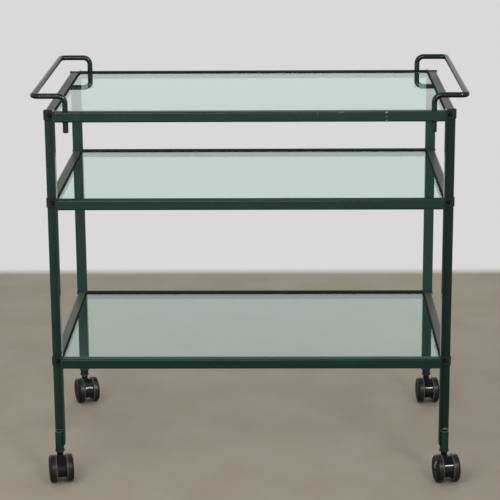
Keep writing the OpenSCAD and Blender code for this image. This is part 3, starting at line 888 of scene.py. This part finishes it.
# %% Rings that hold the handles
ring_section = in_mm(
    (5.05, 0), (5.05, -0.9), (5.5, -1.0), (6.9, -0.95), (7.4, -0.6), (7.5, -0.2), (7.3, 0))
ring = turned("ring_pattern", ring_section, 48)
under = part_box("rail_top_front")[0].z
repeated("handle_rings", ring, [(x, y, under, 0) for x, y in uprights], BLACKENED)
print(len(uprights), "rings")

# %% [markdown]
# ## Ledges and pads that carry the glass
# Four thin bars are fixed to the inside of each frame, and the pane lies on them on small
# rubber pads. Through the glass they show as a darker line along the frame.


# %% Ledges
LEDGE, LEDGE_SHORT, LEDGE_EASE = 4 * MM, 6 * MM, 0.25 * MM


def block(name, low, high, radius=0.3 * MM):
    """A bar along Z with slightly rounded corners, from one corner of its box to the other."""
    return bar(name, rounded_outline(low[:2], high[:2], radius, 3), low[2], high[2], Z)


for level in LEVELS:
    node = f"ledges_{level}"
    low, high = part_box(node)
    made = []
    from_x, to_x = low.x + LEDGE_SHORT, high.x - LEDGE_SHORT
    from_y, to_y = low.y + LEDGE_SHORT, high.y - LEDGE_SHORT
    for y0, y1 in ((low.y, low.y + LEDGE), (high.y - LEDGE, high.y)):
        made.append(block("long_ledge", (from_x, y0, low.z), (to_x, y1, high.z)))
    for x0, x1 in ((low.x, low.x + LEDGE), (high.x - LEDGE, high.x)):
        made.append(block("side_ledge", (x0, from_y, low.z), (x1, to_y, high.z)))
    dress(eased(joined(node + "_finish", made), LEDGE_EASE), node, FRAME_GREEN)
print("ledges at", len(LEVELS), "levels")

# %% Pads
PAD_LONG, PAD_WIDE, PAD_THICK, PAD_IN = 16 * MM, 4 * MM, 0.8 * MM, 70 * MM
PAD_ROUND, PAD_EASE = 1 * MM, 0.2 * MM
half_long, half_wide = PAD_LONG / 2, PAD_WIDE / 2
pad = block("pad_pattern", (-half_long, -half_wide, -PAD_THICK), (half_long, half_wide, 0), PAD_ROUND)
pad = eased(pad, PAD_EASE)
places = []
for level in LEVELS:
    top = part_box(f"glass_{level}")[0].z
    low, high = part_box(f"ledges_{level}")
    for x in (low.x + PAD_IN, high.x - PAD_IN):
        places += [(x, y, top, 0) for y in (low.y + half_wide, high.y - half_wide)]
    for y in (low.y + PAD_IN, high.y - PAD_IN):
        places += [(x, y, top, 90) for x in (low.x + half_wide, high.x - half_wide)]
repeated("glass_pads", pad, places, PAD_RUBBER)
print(len(places), "pads")

# %% [markdown]
# ## Welds
# The long rails are welded to the legs, and a weld is a path too: a bead that runs round the
# rail's end, a little uneven. Each castor's socket tube has four short beads at its leg. The
# tree resamples a path into short steps and varies the radius with noise, which gives the
# small ripples of a real bead.

# %% A tree that lays a bead
bead_tree, start, done = new_tree("weld bead", Bead_radius="Float", Step="Float", Material="Material")
line = add(bead_tree, "GeometryNodeMeshToCurve", Mesh=start.outputs["Geometry"])
short = add(bead_tree, "GeometryNodeResampleCurve", {"mode": "LENGTH"}, Curve=line.outputs["Curve"],
            Length=start.outputs["Step"])
uneven = add(bead_tree, "ShaderNodeTexNoise", Scale=900.0, Detail=1.0)
ripple = remap(bead_tree, uneven.outputs[0], 0.3, 0.7, 0.75, 1.15)
sized = add(bead_tree, "GeometryNodeSetCurveRadius", Curve=short.outputs["Curve"], Radius=ripple)
bead = swept(bead_tree, sized.outputs["Curve"], start.outputs["Bead radius"], 10)
bead_tree.links.new(ripple, bead.inputs["Scale"])
delivered(bead_tree, bead.outputs["Mesh"], start, done)

# %% Weld beads
BEAD_RADIUS = BEAD_STEP = 0.9 * MM
BEAD_PROUD = 0.2 * MM
SEAM_SUNK, SEAM_ASIDE = 0.5 * MM, 3.1 * MM
# a socket's seams: how far they lie above the leg's foot, and below the socket's top
FOOT_SEAM, TOP_SEAM = (2 * MM, 11 * MM), (10 * MM, 2 * MM)
paths = []
for level in LEVELS:
    for where, sy in (("front", 1), ("back", -1)):
        low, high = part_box(f"rail_{level}_{where}")
        mid_y, mid_z = (low.y + high.y) / 2, (low.z + high.z) / 2
        open_y = low.y + RAIL_ROUND / 2 if where == "front" else high.y - RAIL_ROUND / 2
        outline = rounded_outline((low.y, low.z), (high.y, high.z), RAIL_ROUND, 4)
        seam = [(y, z) for y, z in outline if (y - open_y) * sy > 0]
        seam.sort(key=lambda p: math.atan2(p[1] - mid_z, (p[0] - mid_y) * sy))
        for x in (low.x + BEAD_PROUD, high.x - BEAD_PROUD):
            paths.append([(x, y, z) for y, z in seam])
for corner, (sx, sy) in CORNERS.items():
    low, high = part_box(f"socket_{corner}")
    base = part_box(f"leg_{corner}")[0].z
    touch_x = high.x if sx > 0 else low.x
    touch_y = high.y if sy > 0 else low.y
    mid_x, mid_y = (low.x + high.x) / 2, (low.y + high.y) / 2
    for seam in ([base + z for z in FOOT_SEAM], [high.z - z for z in TOP_SEAM]):
        paths.append([(mid_x - sx * SEAM_ASIDE, touch_y - sy * SEAM_SUNK, z) for z in seam])
        paths.append([(touch_x - sx * SEAM_SUNK, mid_y - sy * SEAM_ASIDE, z) for z in seam])
welds = grown("welds", path_mesh("weld_paths", paths), bead_tree,
              Bead_radius=BEAD_RADIUS, Step=BEAD_STEP, Material=WELD_GREEN)
welds.data.shade_smooth()
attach(welds, "frame")
print(len(paths), "beads,", len(welds.data.polygons), "faces")

# %% [markdown]
# ## Castors
# Each castor has a body between two wheels: a hood like a drum, a web, a boss for the axle and
# a neck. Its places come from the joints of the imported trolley, so it is built in its own
# frame, with the axle along X, and then put in place by one matrix.

# %% Where each castor stands
joint_of = {j["name"]: j for j in frame["joints"]}


def castor_place(corner):
    """The matrix from a castor's own frame, which has the axle along X in front of the stem."""
    x, y = joint_of[f"swivel_{corner}"]["pos_m"][:2]
    axis = joint_of[f"roll_a_{corner}"]["axis"]
    return Matrix.Translation((x, y, 0)) @ Matrix.Rotation(math.atan2(axis[1], axis[0]), 4, "Z")


first_swivel, first_roll = joint_of["swivel_front_left"], joint_of["roll_a_front_left"]
TRAIL = (Vector(first_roll["pos_m"]) - Vector(first_swivel["pos_m"])).xy.length
WHEEL_R = first_roll["pos_m"][2]
TO_AXLE = Matrix.Translation((0, -TRAIL, WHEEL_R))
ALONG_AXLE = Matrix.Rotation(math.radians(90), 4, "Y")
print("trail", round(TRAIL / MM, 1), "mm, wheel radius", WHEEL_R / MM, "mm")

# %% Wheels
WHEEL_IN = 9 * MM
TREAD_FROM, TREAD_TO, RIDGE_TO = 22.63 * MM, 9 * MM, 2 * MM
# from the axle's hole along the inner side, over the tread and back along the outer side
wheel_section = in_mm(
    (0, 10.05), (3.05, 10.05), (3.05, 0), (7.2, 0), (7.5, 0.3), (7.5, 6.5), (20.6, 6.5), (21, 6.1),
    (21, 0.4), (21.4, 0))
wheel_section += arc(25.2 * MM, 0.8 * MM, 0.8 * MM, -90, 0, 4)
wheel_section += in_mm((26, 2))
wheel_section += arc(22 * MM, 9 * MM, 4 * MM, 0, 78, 10)
wheel_section += in_mm(
    (22.62, 12.9), (22.5, 12.6), (22.2, 12.55), (21.8, 12.7), (20.1, 12.35), (19.6, 12.1),
    (19.1, 12.15), (18.6, 12.5), (18.2, 12.75), (17.4, 12.85), (10, 12.98), (6.4, 13), (6.1, 12.75),
    (5.8, 12.75), (5.5, 12.95), (2.5, 13), (0, 13))


def wheel(node, corner, hand):
    """One wheel, on the castor's left (hand -1) or right (hand 1)."""
    place = castor_place(corner) @ Matrix.Translation((hand * WHEEL_IN, -TRAIL, WHEEL_R)) @ \
        Matrix.Rotation(math.radians(90 * hand), 4, "Y")
    piece = turned(node + "_finish", wheel_section, 72)
    for finish in (TREAD_GREY, DISC_BLACK, RIDGE_DUST_AND_HIGHLIGHT):
        piece.data.materials.append(finish)
    for face in piece.data.polygons:
        reach = max(piece.data.vertices[v].co.xy.length for v in face.vertices)
        disc = reach < TREAD_FROM or face.center.z > TREAD_TO
        # index 2 is the ridge's paler finish, partly dust and partly a painted highlight
        face.material_index = 1 if disc else 2 if face.center.z < RIDGE_TO else 0
    piece = eased(piece, 0, smooth=38)
    piece.data.transform(place)
    disc_finish = SCRATCHED_DISC if node == "wheel_a_front_right" else DISC_BLACK
    return dress(piece, node, TREAD_GREY, disc_finish, RIDGE_DUST_AND_HIGHLIGHT)


wheels = [wheel(f"wheel_{letter}_{corner}", corner, hand)
          for corner in CORNERS for letter, hand in (("a", -1), ("b", 1))]
print(len(wheels), "wheels of", len(wheels[0].data.polygons), "faces")

# %% Castor bodies
HOOD_WIDE, HOOD_R, HOOD_WALL, HOOD_WEB = 17 * MM, 24.5 * MM, 3 * MM, 5 * MM
HOOD_IN_R, HOOD_FOOT = HOOD_R - HOOD_WALL, 16 * MM
NECK_R, NECK_FOOT, NECK_TOP = 6.2 * MM, 28 * MM, 52 * MM
BOSS_R, AXLE_HOLE_R, STEM_HOLE_R, AXLE_EASE = 6 * MM, 3.05 * MM, 4.05 * MM, 0.4 * MM


def over_the_top(radius, steps):
    """Angles round the axle, from one foot of the hood over its top to the other foot."""
    low = math.asin((HOOD_FOOT - WHEEL_R) / radius)
    return [low + (math.pi - 2 * low) * i / steps for i in range(steps + 1)]


def round_axle(radius, angle):
    """A point round the axle, as Y and Z in the castor's own frame."""
    return -TRAIL + radius * math.cos(angle), WHEEL_R + radius * math.sin(angle)


def drum_shell(name):
    """The hood's curved wall: its section is carried round the axle, open towards the floor."""
    ease = 0.7 * MM
    half = HOOD_WIDE / 2
    section = [(HOOD_IN_R, -half + ease / 2), (HOOD_IN_R + ease / 2, -half)]
    section += arc(HOOD_R - ease, -half + ease, ease, -90, 0, 4)
    section += arc(HOOD_R - ease, half - ease, ease, 0, 90, 4)
    section += [(HOOD_IN_R + ease / 2, half), (HOOD_IN_R, half - ease / 2)]
    shell = bmesh.new()
    rows = [[shell.verts.new((x, *round_axle(r, angle))) for r, x in section]
            for angle in over_the_top(HOOD_R, 96)]
    strips(shell, rows)
    shell.faces.new(rows[0])
    shell.faces.new(rows[-1])
    bmesh.ops.recalc_face_normals(shell, faces=shell.faces)
    return formed(name, shell)


def castor_body(corner):
    """Hood, web, axle boss and neck as one moulding."""
    web_outline = [round_axle(HOOD_R - HOOD_WALL / 2, angle) for angle in over_the_top(HOOD_IN_R, 48)]
    web = bar("web", web_outline, -HOOD_WEB / 2, HOOD_WEB / 2, X)
    boss_section = round_bar(BOSS_R, -HOOD_WIDE / 2, HOOD_WIDE / 2, AXLE_EASE, AXLE_HOLE_R)
    boss = turned("boss", boss_section, 48, TO_AXLE @ ALONG_AXLE)
    neck_section = [(0, NECK_FOOT), (NECK_R, NECK_FOOT), (NECK_R, NECK_TOP - 0.6 * MM),
                    (NECK_R - 0.2 * MM, NECK_TOP - 0.2 * MM), (NECK_R - 0.6 * MM, NECK_TOP),
                    (STEM_HOLE_R, NECK_TOP), (STEM_HOLE_R, NECK_TOP - 2 * MM),
                    (0, NECK_TOP - 2 * MM)]
    neck = turned("neck", neck_section, 48)
    body = joined(f"hood_{corner}_finish", [drum_shell("drum"), web, boss, neck])
    body = eased(body, 0, smooth=38)
    body.data.transform(castor_place(corner))
    return dress(body, f"hood_{corner}", HOOD_BLACK)


hoods = [castor_body(corner) for corner in CORNERS]
print(len(hoods), "castor bodies of", len(hoods[0].data.polygons), "faces")

# %% Stems, axles, sockets and sleeves
STEM_R, SHOULDER = 4 * MM, 1.2 * MM
AXLE_R, AXLE_HALF = 3 * MM, 19 * MM
SLEEVE_R, COLLAR_R = 6.45 * MM, 9 * MM
RIM_DEEP = 0.4 * MM
low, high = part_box("stem_front_left")
ease, shoulder_top = 0.2 * MM, NECK_TOP + SHOULDER
stem_section = [(0, low.z), (STEM_R - 0.5 * MM, low.z), (STEM_R, low.z + 0.5 * MM),
                (STEM_R, NECK_TOP), (NECK_R - ease, NECK_TOP), (NECK_R, NECK_TOP + ease),
                (NECK_R, shoulder_top - ease), (NECK_R - ease, shoulder_top), (STEM_R, shoulder_top),
                (STEM_R, high.z - 0.8 * MM), (STEM_R - 0.8 * MM, high.z), (0, high.z)]
axle_section = round_bar(AXLE_R, -AXLE_HALF, AXLE_HALF, AXLE_EASE)
socket_foot = ((6.5, 0.3), (6.8, 0), (7.7, 0), (8, 0.3))
socket_rim = ((8, 0.35), (7.85, 0.1), (7.6, 0), (6.75, 0), (6.55, 0.1), (6.5, 0.3))
for corner in CORNERS:
    place = castor_place(corner)
    stem = turned(f"stem_{corner}_finish", stem_section, 48, place)
    dress(eased(stem, 0), f"stem_{corner}", ZINC)
    axle = turned(f"axle_{corner}_finish", axle_section, 32, place @ TO_AXLE @ ALONG_AXLE)
    dress(eased(axle, 0), f"axle_{corner}", ZINC)
    low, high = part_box(f"socket_{corner}")
    socket_section = [(r * MM, low.z + h * MM) for r, h in socket_foot]
    socket_section += [(r * MM, high.z - h * MM) for r, h in socket_rim]
    to_socket = Matrix.Translation(((low.x + high.x) / 2, (low.y + high.y) / 2, 0))
    tube = turned(f"socket_{corner}_finish", socket_section, 64, to_socket)
    dress(eased(tube, 0), f"socket_{corner}", FRAME_GREEN, RIM_HIGHLIGHT)
    # the top rim gets the pale painted highlight
    for face in tube.data.polygons:
        face.material_index = 1 if face.center.z > high.z - RIM_DEEP else 0
low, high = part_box("castor_sleeves")
collar_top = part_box("socket_front_left")[0].z
sleeve_section = [(STEM_HOLE_R, low.z), (8.3 * MM, low.z), (8.8 * MM, low.z + 0.3 * MM),
                  (COLLAR_R, low.z + 0.9 * MM), (COLLAR_R, collar_top - 0.5 * MM),
                  (8.6 * MM, collar_top), (SLEEVE_R, collar_top), (SLEEVE_R, high.z - 0.5 * MM),
                  (6 * MM, high.z), (STEM_HOLE_R, high.z)]
sleeve = turned("sleeve_pattern", sleeve_section, 56)
places = [(*joint_of[f"swivel_{corner}"]["pos_m"][:2], 0, 0) for corner in CORNERS]
repeated("castor_sleeves", sleeve, places, BLACK_PLASTIC)
print(len(places), "sets of castor fittings")

# %% [markdown]
# ## What stays as it was built
# The plugs inside the side rails never show, so their solids stay. Every solid gets a finish,
# by its material slot, so none is left bare.

# %% Finishes for the solids that stay
FINISH_OF_SLOT = {
    "frame_green": FRAME_GREEN, "handle_green": HANDLE_GREEN, "glass_tint": PANE_GLASS,
    "black_plastic": BLACK_PLASTIC, "hood_plastic": HOOD_BLACK, "wheel_plastic": DISC_BLACK,
    "steel": ZINC, "dark_metal": BLACKENED, "pad_rubber": PAD_RUBBER}
for name, solid in nodes.items():
    finish = FINISH_OF_SLOT[slot_of_node[name]]
    solid.data.materials.clear()
    solid.data.materials.append(finish)
